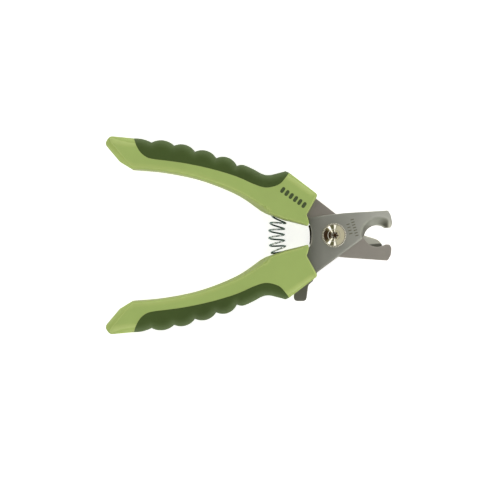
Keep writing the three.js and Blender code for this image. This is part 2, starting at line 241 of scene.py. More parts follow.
def edge_rings(ring, full_ring, steps):
    """Rows of points inside the outline that follow the rounded edge's curve."""
    normals = inward(ring)
    rows = []
    for k in range(1, steps + 1):
        share = 1 - math.cos(math.pi / 2 * k / steps)
        row = ring[:, :2] + normals * (ring[:, 2] * share)[:, None]
        near = round_over(row, full_ring)[1]
        # Left out where another stretch of the edge lies nearer.
        keep = (near > share * 0.96 - 0.004) & is_inside(row, ring)
        rows.append(row[keep])
    return np.concatenate(rows)


def level(z):
    """The same height everywhere, for a plate's top or bottom."""
    return lambda xy: np.full(len(xy), z)


def plate(name, ring, top, bottom, points=NO_POINTS, holes=(), sharp=SHARP):
    """A closed plate: the outline's inside triangulated through the points.

    The top and the bottom are functions that give the heights at an array of places.
    """
    flat = [tuple(p[:2]) for p in ring]
    edges = [(i, (i + 1) % len(flat)) for i in range(len(flat))]
    for hole in holes:
        start = len(flat)
        flat += [tuple(p[:2]) for p in hole]
        edges += [(start + i, start + (i + 1) % len(hole)) for i in range(len(hole))]
    flat += [tuple(p[:2]) for p in points]
    result = delaunay_2d_cdt([Vector(p) for p in flat], edges, [], 0, 1e-5)
    xy = np.array([(v.x, v.y) for v in result[0]])
    triangles = np.array([f for f in result[2] if len(f) == 3])
    a, b, c = xy[triangles[:, 0]], xy[triangles[:, 1]], xy[triangles[:, 2]]
    area = (b[:, 0] - a[:, 0]) * (c[:, 1] - a[:, 1]) - (b[:, 1] - a[:, 1]) * (c[:, 0] - a[:, 0])
    triangles[area < 0] = triangles[area < 0][:, ::-1]
    centres = (a + b + c) / 3
    keep = is_inside(centres, ring) & (np.abs(area) > 1e-7)
    for hole in holes:
        keep &= ~is_inside(centres, np.array(hole))
    used, triangles = np.unique(triangles[keep], return_inverse=True)
    triangles, xy = triangles.reshape(-1, 3).tolist(), xy[used]
    count = len(xy)
    verts = [(*place, z) for face in (top, bottom) for place, z in zip(xy, face(xy))]
    faces = [tuple(t) for t in triangles]
    faces += [tuple(i + count for i in t[::-1]) for t in triangles]
    sides = {(t[i], t[(i + 1) % 3]) for t in triangles for i in range(3)}
    for p, q in sides:
        if (q, p) not in sides:
            faces.append((p + count, q + count, q, p))
    return to_object(name, verts, faces, sharp)


def turned(name, profile, segments=96, shape=None, sharp=30):
    """A body turned about the pivot axis; shape may change each (radius, z) by the angle.

    The profile runs from the bottom to the top on the outside. It closes on the axis where its ends have
    no radius, and on itself otherwise.
    """
    verts, rows = [], []
    for radius, z in profile:
        count = segments if radius else 1
        rows.append([len(verts) + k % count for k in range(segments)])
        for k in range(count):
            angle = math.tau * k / segments
            r, h = shape(radius, z, angle) if shape else (radius, z)
            verts.append((r * math.cos(angle), r * math.sin(angle), h))
    if profile[0][0]:
        rows.append(rows[0])
    faces = []
    for low, high in zip(rows, rows[1:]):
        for k in range(segments):
            j = (k + 1) % segments
            face = tuple(dict.fromkeys((low[k], low[j], high[j], high[k])))
            if len(face) > 2:
                faces.append(face)
    return to_object(name, verts, faces, sharp)


def fillet(radius_at, z_at, size, turn_from, turn_to, steps=5):
    """Profile places of a small rounded corner about a centre."""
    angles = np.radians(np.linspace(turn_from, turn_to, steps + 1))
    return [(radius_at + size * math.cos(a), z_at + size * math.sin(a)) for a in angles]


def cut(obj, cutter):
    """Takes the cutter's space out of the object, and removes the cutter."""
    modifier = obj.modifiers.new("cut", "BOOLEAN")
    modifier.operation = "DIFFERENCE"
    modifier.solver = "MANIFOLD"
    modifier.object = cutter
    with bpy.context.temp_override(object=obj, active_object=obj):
        bpy.ops.object.modifier_apply(modifier=modifier.name)
    bpy.data.objects.remove(cutter)
    obj.data.set_sharp_from_angle(angle=math.radians(SHARP))


def cylinder_along(name, base, direction, radius, length, segments=48):
    """A closed cylinder from a base point along a direction, in millimetres."""
    bm = bmesh.new()
    bmesh.ops.create_cone(
        bm, cap_ends=True, segments=segments, radius1=radius * MM, radius2=radius * MM, depth=length * MM
    )
    turn = Vector(direction).to_track_quat("Z", "Y").to_matrix().to_4x4()
    middle = (Vector(base) + Vector(direction).normalized() * (length / 2)) * MM
    bm.transform(Matrix.Translation(middle) @ turn)
    mesh = bpy.data.meshes.new(name)
    bm.to_mesh(mesh)
    bm.free()
    return put(name, mesh)


# -------- materials

def linear(*levels):
    """A colour given as 0 to 255 on a screen, for a shader."""
    shares = [value / 255 for value in levels]
    return (*[c / 12.92 if c <= 0.04045 else ((c + 0.055) / 1.055) ** 2.4 for c in shares], 1.0)


def ramp(tree, value, stops):
    """A colour ramp of stops, each a position with red, green and blue or with one grey level."""
    node = tree.nodes.new("ShaderNodeValToRGB")
    elements = node.color_ramp.elements
    elements.remove(elements[1])
    for i, (position, *colour) in enumerate(stops):
        element = elements[0] if i == 0 else elements.new(position)
        element.position = position
        element.color = (*(colour[:3] if len(colour) > 1 else colour * 3), 1)
    tree.links.new(value, node.inputs["Fac"])
    return node.outputs["Color"]


def feed(tree, value, socket):
    """Links another node's output to the socket, or sets a plain value on it."""
    if isinstance(value, bpy.types.NodeSocket):
        tree.links.new(value, socket)
    else:
        socket.default_value = value


def math_node(tree, operation, *values):
    """A Math node on numbers or other nodes' outputs."""
    node = tree.nodes.new("ShaderNodeMath")
    node.operation = operation
    for value, socket in zip(values, node.inputs):
        feed(tree, value, socket)
    return node.outputs["Value"]


def mix_node(tree, factor, first, second, blend="MIX"):
    """A mix of two colours, each given as values or as another node's output."""
    node = tree.nodes.new("ShaderNodeMix")
    node.data_type = "RGBA"
    node.blend_type = blend
    for value, socket in ((factor, "Factor"), (first, "A"), (second, "B")):
        feed(tree, value, node.inputs[socket])
    return node.outputs["Result"]


def split_axes(tree, vector):
    """A vector's X, Y and Z."""
    split = tree.nodes.new("ShaderNodeSeparateXYZ")
    tree.links.new(vector, split.inputs["Vector"])
    return [split.outputs[axis] for axis in "XYZ"]


NOISE_RANGE = (0.3, 0.7)  # where nearly all of a noise's values lie


class Nodes:
    """A material's node tree, with short calls for the nodes used here."""

    def __init__(self, name):
        self.material = bpy.data.materials.new(name)
        self.material.use_nodes = True
        self.tree = self.material.node_tree
        self.shader = self.tree.nodes["Principled BSDF"]
        self.coordinates = self.tree.nodes.new("ShaderNodeTexCoord").outputs["Object"]

    def drive(self, socket, output):
        """Links an output to one of the shader's sockets."""
        self.tree.links.new(output, self.shader.inputs[socket])

    def node(self, kind, output, **inputs):
        """A new node's output, with its sockets linked or set; their names have _ for each space."""
        node = self.tree.nodes.new("ShaderNode" + kind)
        for name, value in inputs.items():
            feed(self.tree, value, node.inputs[name.replace("_", " ")])
        return node.outputs[output]

    def noise(self, scale, detail, rough=0.55, vector=None):
        """Noise with so many cells to the metre."""
        vector = vector or self.coordinates
        return self.node("TexNoise", "Fac", Vector=vector, Scale=scale, Detail=detail, Roughness=rough)

    def spread(self, value, source=NOISE_RANGE, low=0, high=1):
        """A value carried from the source range to low and high, and held there beyond it."""
        start, end = source
        limits = {"From_Min": start, "From_Max": end, "To_Min": low, "To_Max": high}
        return self.node("MapRange", "Result", Value=value, **limits)

    def colours(self, factor, first, second):
        return mix_node(self.tree, factor, first, second)

    def math(self, operation, *values):
        return math_node(self.tree, operation, *values)

    def place(self):
        """X, Y and Z in millimetres."""
        axes = split_axes(self.tree, self.coordinates)
        return [self.math("MULTIPLY", value, 1 / MM) for value in axes]

    def away(self, place, centre):
        """Distance in millimetres from the upright line through a centre."""
        squares = [self.math("POWER", self.math("SUBTRACT", v, c), 2.0) for v, c in zip(place, centre)]
        return self.math("SQRT", self.math("ADD", *squares))

    def bumps(self, *layers):
        """Bump from (height, strength, distance) layers, one on top of the other."""
        below = {}
        for height, strength, distance in layers:
            below["Height"] = height
            normal = self.node("Bump", "Normal", Strength=strength, Distance=distance, **below)
            below["Normal"] = normal
        self.drive("Normal", normal)

    def set(self, **values):
        """Sets the shader's own sockets, named with _ for each space."""
        for name, value in values.items():
            self.shader.inputs[name.replace("_", " ")].default_value = value


GREY_94 = (0.94, 0.94, 0.94, 1.0)
GREY_100 = (1.0, 1.0, 1.0, 1.0)


def clouded(n, tone, scale):
    """Drives the base colour with a tone, a little darker in clouds."""
    cloud = n.colours(n.spread(n.noise(scale, 3)), GREY_94, GREY_100)
    n.drive("Base Color", mix_node(n.tree, 1.0, tone, cloud, "MULTIPLY"))


def shade(colour, factor):
    """A colour made darker or lighter."""
    return (colour[0] * factor, colour[1] * factor, colour[2] * factor, 1.0)


def moulded_plastic(name, tones, rough):
    """Spark-eroded moulding: a fine grain, uneven gloss, and painted highlights and painted shade on edges
    and flanks, by how far the surface tilts.

    The tones, painted light and shade, are (upright share of the normal, red, green, blue) from a flank to
    the face.
    """
    n = Nodes(name)
    normal = n.tree.nodes["Texture Coordinate"].outputs["Normal"]
    upright = n.math("ABSOLUTE", split_axes(n.tree, normal)[2])
    # Painted light: the colour changes with the tilt of the normal.
    tone = ramp(n.tree, upright, [(share, *linear(*colour)) for share, *colour in tones])
    clouded(n, tone, 60)
    n.drive("Roughness", n.spread(n.noise(900, 2), NOISE_RANGE, rough - 0.06, rough + 0.06))
    n.bumps((n.noise(2600, 3), 0.18, 0.00006), (n.noise(140, 2), 0.06, 0.0004))
    n.set(Specular_IOR_Level=0.55)
    return n.material


def soft_rubber(name, colour):
    """Soft overmoulding: matt, with a powdery bloom and a fine pebbled skin."""
    n = Nodes(name)
    tone = n.colours(n.spread(n.noise(45, 4)), shade(colour, 0.88), shade(colour, 1.1))
    n.drive("Base Color", tone)
    n.drive("Roughness", n.spread(n.noise(700, 2), NOISE_RANGE, 0.48, 0.6))
    n.bumps((n.noise(3200, 3), 0.25, 0.00007), (n.noise(260, 2), 0.08, 0.0003))
    n.set(Specular_IOR_Level=0.5, Specular_Tint=linear(250, 255, 225))
    return n.material


def brushed(n, rough, turn):
    """Fine scratches one way, an uneven gloss and small nicks."""
    scale = (260, 5200, 900)
    stretched = n.node("Mapping", "Vector", Vector=n.coordinates, Rotation=(0, 0, turn), Scale=scale)
    scratches = n.noise(1, 4, 0.6, stretched)
    n.drive("Roughness", n.spread(scratches, NOISE_RANGE, rough - 0.05, rough + 0.09))
    n.bumps((scratches, 0.12, 0.00003), (n.noise(5200, 2), 0.16, 0.00002))
    n.set(Metallic=1.0)


def brushed_steel(name, colour, rough, turn=0.0):
    """Stamped and tumbled steel."""
    n = Nodes(name)
    cloud = n.spread(n.noise(120, 3))
    n.drive("Base Color", n.colours(cloud, shade(colour, 0.9), shade(colour, 1.06)))
    brushed(n, rough, turn)
    return n.material


GLINT_HEIGHT_LIMITS = (9.3, 10.2)  # heights between which the spring's painted glints fade in, at the tops of the coils
GLINT_NOISE_LIMITS = (0.46, 0.56)  # of their noise
PAINTED_GLINT_COLOUR = linear(250, 255, 252)


def spring_wire(name, colour, rough):
    """Dark drawn wire, with painted glints along the crowns of the coil."""
    n = Nodes(name)
    crown = n.spread(n.place()[2], GLINT_HEIGHT_LIMITS)
    glints = n.spread(n.noise(1300, 2), GLINT_NOISE_LIMITS)
    # Painted highlight: bright spots on the tops of the coils.
    tone = n.colours(n.math("MULTIPLY", crown, glints), colour, PAINTED_GLINT_COLOUR)
    n.drive("Base Color", tone)
    brushed(n, rough, 0.0)
    return n.material


# Limits between which a blade's tones change, in millimetres.
GRIND_RADIUS = 9.05  # of the wheel that ground the nail opening
GROUND_LIMITS = (8.3, 9.5)  # from the wheel's centre
TIP_LIMITS = (27.2, 28.3)  # of x
HEEL_LIMITS = (15.5, 20.5)  # of x
SHOULDER_LIMITS = (0.15, 0.8)  # from the grind's shoulder, for the painted highlight along it
HOOK_LIMITS = (0.6, 4.2)  # from the hook's middle, for the painted shade in it
GROUND_STEEL = linear(184, 186, 175)
SHOULDER_HIGHLIGHT_COLOUR = linear(238, 241, 228)
HOOK_SHADE_COLOUR = linear(108, 108, 100)


def steel_with_painted_light(name, rough, turn, tones, tint, wheel, hook_centre, ground_face):
    """Blade steel, darker towards the handle, with a painted highlight along the grind's shoulder and
    painted shade in the hook.
    """
    n = Nodes(name)
    place = n.place()
    low, high = tones[0][0], tones[-1][0]
    stops = [((x - low) / (high - low), *linear(g, g + tint[0], g + tint[1])) for x, g in tones]
    tone = ramp(n.tree, n.spread(place[0], (low, high)), stops)
    from_wheel = n.away(place, wheel)
    on_face = n.spread(place[2], ground_face)
    off_tip = n.math("MULTIPLY", on_face, n.spread(place[0], TIP_LIMITS, 1, 0))
    ground = n.math("MULTIPLY", off_tip, n.spread(from_wheel, GROUND_LIMITS, 1, 0))
    tone = n.colours(ground, tone, GROUND_STEEL)
    # Painted highlight along the grind's shoulder.
    off_shoulder = n.math("ABSOLUTE", n.math("SUBTRACT", from_wheel, GRIND_RADIUS))
    at_heel = n.math("MULTIPLY", on_face, n.spread(place[0], HEEL_LIMITS, 1, 0))
    shoulder = n.math("MULTIPLY", n.spread(off_shoulder, SHOULDER_LIMITS, 1, 0), at_heel)
    tone = n.colours(shoulder, tone, SHOULDER_HIGHLIGHT_COLOUR)
    # Painted shade in the hook.
    hook = n.math("MULTIPLY", ground, n.spread(n.away(place, hook_centre), HOOK_LIMITS, 1, 0))
    tone = n.colours(hook, tone, HOOK_SHADE_COLOUR)
    clouded(n, tone, 120)
    brushed(n, rough, turn)
    return n.material


HUB_SHADE_LIMITS = (15, 19)  # from the pivot axis, where the painted shade round the hub fades out
GUARD_LIMITS = (6, 12)  # of x
LIP_RISE = 0.1  # of the guard's lower lip, for each millimetre of x
LIP_SHADOW_LIMITS = (-6.7, -6.25)  # of y, where x is 0, for the painted shadow of the rear blade on the lip


def toned_steel(name, hub, dark, light, rough):
    """Steel with painted shade near black round the hub, lighter on the guard, and a painted shadow on the
    guard's lower lip.
    """
    n = Nodes(name)
    place = n.place()
    # Painted shade, near black round the hub.
    tone = n.colours(n.spread(n.away(place, (0, 0)), HUB_SHADE_LIMITS), hub, dark)
    on_guard = n.spread(place[0], GUARD_LIMITS)
    # Painted shadow of the rear blade on the guard's lower lip.
    out_of_lip_shadow = n.spread(n.math("MULTIPLY_ADD", place[0], -LIP_RISE, place[1]), LIP_SHADOW_LIMITS)
    guard = n.math("MULTIPLY", on_guard, out_of_lip_shadow)
    lip = n.colours(on_guard, tone, dark)
    n.drive("Base Color", n.colours(guard, lip, light))
    brushed(n, rough, math.radians(60))
    return n.material


def bright_plate(name, colour, rough, teeth=None):
    """Nickel plate over turned steel, mirror-like.

    The teeth are their count, the radii between which the painted shade in their grooves fades in, and its
    colour.
    """
    n = Nodes(name)
    cloud = n.spread(n.noise(400, 2))
    tone = n.colours(cloud, shade(colour, 0.95), shade(colour, 1.03))
    if teeth:
        count, radii, groove_shade = teeth
        place = n.place()
        angle = n.math("ARCTAN2", place[1], place[0])
        groove = n.spread(n.math("COSINE", n.math("MULTIPLY", angle, count)), (0.0, 0.8))
        rim = n.spread(n.away(place, (0, 0)), radii)
        # Painted shade in the grooves between the teeth.
        tone = n.colours(n.math("MULTIPLY", groove, rim), tone, groove_shade)
    n.drive("Base Color", tone)
    n.drive("Roughness", n.spread(n.noise(1500, 2), NOISE_RANGE, rough * 0.7, rough * 1.5))
    n.bumps((n.noise(2200, 2), 0.05, 0.00002))
    n.set(Metallic=1.0)
    return n.material


# Painted light on the light green plastic: a painted highlight on slightly tilted edges and creases, and
# painted shade on steep flanks.
GREEN_PAINTED_LIGHT_TONES = [
    (0.0, 140, 150, 90), (0.45, 154, 168, 96), (0.56, 163, 180, 99), (0.7, 169, 190, 98),
    (0.87, 171, 193, 98), (0.93, 199, 218, 133), (0.985, 195, 215, 127), (0.996, 190, 212, 122),
    (1.0, 183, 208, 118),
]
LIGHT_GREEN = moulded_plastic("light_green_plastic", GREEN_PAINTED_LIGHT_TONES, 0.5)
DARK_GREEN = soft_rubber("dark_green_rubber", linear(68, 90, 36))
INK = moulded_plastic("dark_green_ink", [(0.0, 74, 92, 50), (1.0, 74, 92, 50)], 0.45)

# Each blade's grey levels along x, how far green and blue lie from them, the grinding wheel's centre, the
# middle of the hook, and the heights between which the ground face's tones fade in.
FRONT_BLADE_LOOK = {
    "tones": [(-13, 142), (-9, 167), (-5, 186), (4, 198), (10, 210), (16, 226), (22, 239), (29, 243)],
    "tint": (1, -8),
    "wheel": (22.9, 0.4),
    "hook_centre": (26.2, 5.2),
    "ground_face": (7.4, 7.7),
}
REAR_BLADE_LOOK = {
    "tones": [(-12, 178), (-4, 186), (4, 200), (29, 206)],
    "tint": (-6, -14),
    "wheel": (23.4, -0.5),
    "hook_centre": (26.7, -5.4),
    "ground_face": (5.5, 5.2),
}
BLADE_STEEL = steel_with_painted_light("blade_steel", 0.36, math.radians(20), **FRONT_BLADE_LOOK)
REAR_STEEL = steel_with_painted_light("rear_blade_steel", 0.38, math.radians(-20), **REAR_BLADE_LOOK)
# The first colour, near black round the hub, is painted shade.
STOP_STEEL = toned_steel(
    "stop_steel", linear(52, 50, 38), linear(134, 134, 124), linear(238, 238, 226), 0.42
)
WASHER_STEEL = brushed_steel("washer_steel", linear(150, 148, 138), 0.34)
BOLT_STEEL = bright_plate("bolt_steel", linear(216, 210, 190), 0.08)
STAKE_STEEL = brushed_steel("stake_steel", linear(80, 60, 38), 0.3)
ETCHING = brushed_steel("etching", linear(150, 149, 130), 0.5, math.radians(20))
NUT_TEETH = 44
NICKEL_COLOUR = linear(222, 218, 202)
NICKEL = bright_plate("nickel_plate", NICKEL_COLOUR, 0.045)
NUT_GROOVE_SHADE = (NUT_TEETH, (5.3, 5.6), linear(70, 62, 42))
NUT_NICKEL = bright_plate("serrated_nickel", NICKEL_COLOUR, 0.045, NUT_GROOVE_SHADE)
SPRING_WIRE = spring_wire("spring_wire", linear(74, 98, 91), 0.15)


def finish(obj, material, body, slot, *nodes):
    """Gives a piece its material and body, and hides the CAD nodes it stands for; the slot is not used."""
    obj.data.materials.clear()
    obj.data.materials.append(material)
    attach(obj, body)
    if nodes:
        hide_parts(*nodes)


# -------- handles

UPPER, LOWER = 1, -1
THICKNESS = heights("upper_handle")[1]
MID = THICKNESS / 2
EDGE_LEAD = 0.45
OUTLINE_STEP = 0.75

RELIEF_RADIUS = 39.6
RELIEF_FROM, RELIEF_TO = 213, 290  # degrees about the pivot
RELIEF_HEIGHT = 3.8
RELIEF_BOTTOM = -2.0  # below the handle's back

SPRING_RADIUS = 29.2  # of the arc about the pivot on which the spring lies
POCKET_SEAT_ANGLE = math.radians(25.2)
POCKET_RADIUS = 4.8
POCKET_LENGTH = 12

GRIP_START = (-101.9, 49.4)
GRIP_END = (-22.9, 31.85)
VALLEYS = [GRIP_START, (-92.9, 47.3), (-81.4, 45.7), (-70.8, 42.6), (-60, 39.3), (-49.5, 35.4)]
RISES = [0.6, 1.9, 2.0, 2.2, 2.4]
RIDGES = []
for before, after, rise in zip(VALLEYS, VALLEYS[1:], RISES):
    RIDGES += bulge(before, after, rise, 14)[:-1]
THUMB_REST = smooth([
    VALLEYS[-1], (-46.3, 35.9), (-41.1, 33.7), (-36.4, 31.2), (-32.9, 30.7), (-29.2, 31.5), (-24.7, 32.7),
], 24)
PALM_SIDE = smooth([(-37.3, 12.5), (-49.7, 20.85), (-68, 28.1), (-86.4, 32), (-102.7, 33.5)], 40)
SEAM = smooth([
    GRIP_START, (-100.5, 45.6), (-98.3, 42), (-95.2, 39.6), (-91.5, 38.6), (-83.4, 37.6), (-74.2, 36.2),
    (-61.9, 33.5), (-49.7, 29.8), (-40.5, 25.8), (-34.4, 24.2), (-28.3, 25.7), (-24.9, 29.0), GRIP_END,
], 120)
OUTER_EDGE = (4.6, 3.4)
CROWN = (4.2, 0.75)
SEAM_WIDTH = 0.16
SEAM_EDGE = (SEAM_WIDTH, 0.13)

# Places along the upper handle as x, y, edge width, edge depth, corner radius.
OUTER_SIDE = edge(RIDGES + THUMB_REST, OUTER_EDGE) + [(*GRIP_END, 2.8, 2.2, 0)]
REST_OF_HANDLE = [
    *edge([(-20.5, 30.0), (-11.0, 22.7)], (4.0, 1.4), (3.4, 1.1)),
    (-8.3, 20.6, 1.0, 0.8, 1.8),
    (-14, 10.4, 0.6, 0.45, 0),
    (-12.8, 6.7, 0.6, 0.45, 0),
    (-13.25, 4.75, 0.6, 0.45, 0.4),
    (-25.2, 7.7, 0.8, 0.6, 0),
    (-34.6, 11.05, 1.6, 0.7, 0),
    *edge(PALM_SIDE, (3.0, 0.7), CROWN),
    (-109.1, 37.4, 3.0, 0.8, 4.0),
    (-116.9, 46.6, 1.4, 1.0, 2.6),
    (-114, 50.37, 5.4, 1.4, 2.8),
]

# Facets beside the edge, from right to left: places with the facet's width there.
PALM_WIDTHS = np.interp([x for x, _ in PALM_SIDE], [-102, -62, -50, -43, -37], [0.7, 0.9, 1.5, 2.1, 2.7])
PALM_FACET = [
    (-15, 5.2, 0.1), (-17, 5.7, 0.7), (-25.2, 7.7, 0.8), (-31, 9.75, 0.8), (-33.6, 10.7, 1.0),
    (-35.2, 11.4, 2.3),
]
PALM_FACET += [(x, y, w) for (x, y), w in zip(PALM_SIDE, PALM_WIDTHS)]
PALM_SLOPE = 1.5
TAIL_FACET = [(-102.7, 33.5, 0.8), (-106.4, 35.7, 2.0), (-109.1, 37.4, 3.1), (-119.5, 49.7, 3.4)]
TAIL_SLOPE = 0.62
CREASE_SOFTNESS = 0.26
CREASE_SHARES = (-1.0, -0.35, 0.35, 1.0)  # of the softness, where the mesh has a row beside a crease
SEAM_SHARES = (0.35, 0.75, 1.1, 2.5)  # of the seam's width, where the mesh has a row beside it
TOP_FACE = THICKNESS - 0.05  # leaves the printed mark inside the CAD's height


def mirrored(places, side):
    """The places, or for the lower side their mirror images."""
    return [(p[0], side * p[1], *p[2:]) for p in places]


def facet_drop(points, line, slope):
    """A facet that slants down beside the line, with a softened crease."""
    distance, width = to_edge(points, line, closed=False)
    within = (width - distance).max(axis=1)
    blend = np.clip((within + CREASE_SOFTNESS) / (2 * CREASE_SOFTNESS), 0, 1)
    return slope * np.where(within > CREASE_SOFTNESS, within, CREASE_SOFTNESS * blend**2)


def divided(line, count):
    """The line's places with each stretch in so many parts, without the last place."""
    line = np.array(line)
    return np.concatenate([np.linspace(p, q, count + 1)[:-1] for p, q in zip(line, line[1:])])


def crease_rows(along):
    """Points on both sides of a facet's crease, for its places along the upper handle."""
    d = np.gradient(along[:, :2], axis=0)
    normals = np.stack([d[:, 1], -d[:, 0]], axis=1)
    normals /= np.linalg.norm(normals, axis=1)[:, None]
    reaches = [along[:, 2] + share * CREASE_SOFTNESS for share in CREASE_SHARES]
    return np.concatenate([along[:, :2] + normals * reach[:, None] for reach in reaches])


def handle_part(name, side, outline, whole):
    """The hard or the soft part of a handle: both share the whole handle's rounded edge."""
    ring = dense(mirrored(outline, side), OUTLINE_STEP)
    whole_ring = dense(mirrored(whole, side), OUTLINE_STEP)
    seam_line = np.array([(x, side * y, *SEAM_EDGE) for x, y in SEAM])
    palm_line = np.array(mirrored(PALM_FACET, side))
    tail_line = np.array(mirrored(TAIL_FACET, side))

    def drop(xy):
        big = round_over(xy, whole_ring, lead=EDGE_LEAD)[0]
        small = round_over(xy, seam_line, closed=False)[0]
        facets = np.maximum(facet_drop(xy, palm_line, PALM_SLOPE), facet_drop(xy, tail_line, TAIL_SLOPE))
        return np.maximum(big + facets, small)

    rows = edge_rings(ring, whole_ring, 8)
    near_seam = []
    normals = inward(ring)
    on_seam = np.abs(ring[:, 2] - SEAM_WIDTH) < 1e-6
    for share in SEAM_SHARES:
        near_seam.append((ring[:, :2] + normals * SEAM_WIDTH * share)[on_seam])
    creases = np.concatenate([crease_rows(np.array(PALM_FACET)), crease_rows(divided(TAIL_FACET, 13))])
    creases[:, 1] *= side
    points = np.concatenate([rows, *near_seam, creases, grid_points(ring, 1.3, 0.9)])
    points = points[is_inside(points, ring)]
    return plate(name, ring, lambda xy: TOP_FACE - drop(xy), drop, points)


def lever_relief():
    """The sector hollowed out of the lower handle's back for the stop's lever."""
    sector = [(0, 0)] + arc((0, 0), RELIEF_RADIUS, RELIEF_FROM, RELIEF_TO, 60)
    return plate("relief", dense(sector, 4), level(RELIEF_HEIGHT), level(RELIEF_BOTTOM))


def spring_pocket(side):
    """The blind hole for one end of the spring."""
    cosine, sine = math.cos(POCKET_SEAT_ANGLE), math.sin(POCKET_SEAT_ANGLE)
    base = (-SPRING_RADIUS * cosine, side * SPRING_RADIUS * sine, MID)
    return cylinder_along("pocket", base, (-sine, -side * cosine, 0), POCKET_RADIUS, POCKET_LENGTH)


def make_handle(side, body, prefix):
    """A handle's hard shell and its soft grip."""
    seam_edge = edge(SEAM, SEAM_EDGE)
    whole = rounded(OUTER_SIDE + REST_OF_HANDLE)
    hard_outline = rounded(REST_OF_HANDLE + seam_edge)
    soft_outline = rounded(OUTER_SIDE[:-1] + seam_edge[::-1][:-1])
    hard = handle_part(f"{prefix}_handle_shell", side, hard_outline, whole)
    soft = handle_part(f"{prefix}_grip_skin", side, soft_outline, whole)
    cut(hard, spring_pocket(side))
    if side == LOWER:
        cut(hard, lever_relief())
        cut(soft, lever_relief())
    finish(hard, LIGHT_GREEN, body, "handle_plastic", f"{prefix}_handle")
    finish(soft, DARK_GREEN, body, "grip_rubber", f"{prefix}_grip")


make_handle(UPPER, "rear_lever", "upper")
make_handle(LOWER, "front_lever", "lower")

# -------- plain mark on the upper handle

MARK_START = (-26.2, 22.9)
MARK_END = (-15.4, 15.3)
MARK_BARS = 6
MARK_LENGTH = 3.3  # of a bar
MARK_WIDTH = 1.75
MARK_TOP = THICKNESS - 0.01
MARK_BOTTOM = THICKNESS - 0.15


def row_of_bars(start, end, count, outline):
    """Outlines of bars in a row, each from its centre and the directions along and across."""
    start, end = np.array(start), np.array(end)
    along = (end - start) / np.linalg.norm(end - start)
    across = np.array([-along[1], along[0]])
    return [outline(start + (end - start) * k / (count - 1), along, across) for k in range(count)]


def printed_bar(centre, along, across):
    """A bar with round ends."""
    lean = math.degrees(math.atan2(across[1], across[0]))
    half = across * (MARK_LENGTH - MARK_WIDTH) / 2
    outline = arc(centre + half, MARK_WIDTH / 2, lean - 90, lean + 90, 10)
    return dense(outline + arc(centre - half, MARK_WIDTH / 2, lean + 90, lean + 270, 10), 1)


for number, ring in enumerate(row_of_bars(MARK_START, MARK_END, MARK_BARS, printed_bar), 1):
    bar = plate(f"mark_bar_{number}", ring, level(MARK_TOP), level(MARK_BOTTOM))
    finish(bar, INK, "rear_lever", "grip_rubber")

# -------- blades

TANG_BACK = smooth([
    (-12.6, 6.4), (-11.8, 4.4), (-11.25, 1.5), (-11.2, -2), (-11.65, -4.4), (-13.4, -7.6),
], 24)
TANG_INSIDE = smooth([(-34, -16), (-50, -23.5), (-75, -33)], 12)
GRIND_FROM_NOTCH = np.array([1.1, 1.9])  # the grinding wheel's centre, from the notch's
GRIND_SLOPE = 0.31
GRIND_SOFTNESS = (0.4, 2.2)  # of the shoulder, at the heel and at the tip
SOFTNESS_AT = (16, 22)  # x of the two
HEEL_BEVEL_WIDTH = 1.0
HEEL_BEVEL_DEPTH = 0.24
LEAST_EDGE = 0.35  # thickness left at the cutting edge
FINE_EDGE = (0.16, 0.16)
BACK_EDGE = (0.4, 0.2)
FACE_RECESS = 0.01  # leaves the etched bars inside the CAD's height
BLADE_SHARP = 24
INNER_EDGE_SHARES = {UPPER: 0.6, LOWER: 0.8}  # of the fine edge's depth, where the blades slide
BORE_RADIUS = 3.15
BORE_MARGIN = 0.15

# Where the mesh has rows of points: out from the grind's shoulder, and in shares of the bevel's width.
GRIND_ROWS = (2.2, 1.6, 1.0, 0.6, 0.36, 0.2, 0.07, -0.07, -0.2, -0.36, -0.6, -0.9, -1.5, -2.2, -3.0, -3.9)
BEVEL_SHARES = (1, 1.12)


def corners(places, size):
    """Places with one edge size all along, from x, y and a corner radius."""
    return [(x, y, *size, radius) for x, y, radius in places]


def blade_outline(notch, tip, arm_root, heel):
    """Outline of a blade drawn with its jaw above."""
    return rounded([
        *edge(arc(*notch, 60), FINE_EDGE), *corners(tip, FINE_EDGE),
        *corners([(5.4, 11.4, 0), (-13, 9, 0.5)], FINE_EDGE), *edge(TANG_BACK, BACK_EDGE),
        (-20, -14, *FINE_EDGE, 0), *edge(TANG_INSIDE, FINE_EDGE), (-77, -35.6, *FINE_EDGE, 0),
        *edge(smooth([(-75, -37.5), (-50, -30), (-34, -24.9), (-20, -24.9), arm_root], 24), FINE_EDGE),
        (*heel, *FINE_EDGE, 0),
    ])


# The notch is given by its centre, its radius and its directions at the heel and at the tip.
FRONT = {
    "notch": ((21.8, -1.5), 6.5, 166, 50),
    "tip": [(26.6, 3.75, 0), (28.9, 3.8, 0.9), (29.9, 6, 1.5), (29.2, 10, 2.0), (27.7, 12.8, 1.4)],
    "arm_root": (-8.8, -19.2), "heel": (14, -2.1),
}
REAR = {
    "notch": ((22.3, -1.4), 7.3, 166, 62),
    "tip": [(26.6, 4.6, 0.5), (28.6, 4.6, 0.9), (29.7, 6.4, 1.2), (29.3, 10.2, 2.0), (27.7, 13, 1.4)],
    "arm_root": (-9, -18.9), "heel": (14.2, -1),
}


def bore_ring():
    """The bore of everything that turns on the bolt."""
    return np.array(arc((0, 0), BORE_RADIUS, 0, 360, 64)[:-1])


def off_bore(points):
    """The points that leave the bore's edge free."""
    return points[np.linalg.norm(points, axis=1) > BORE_RADIUS + BORE_MARGIN]


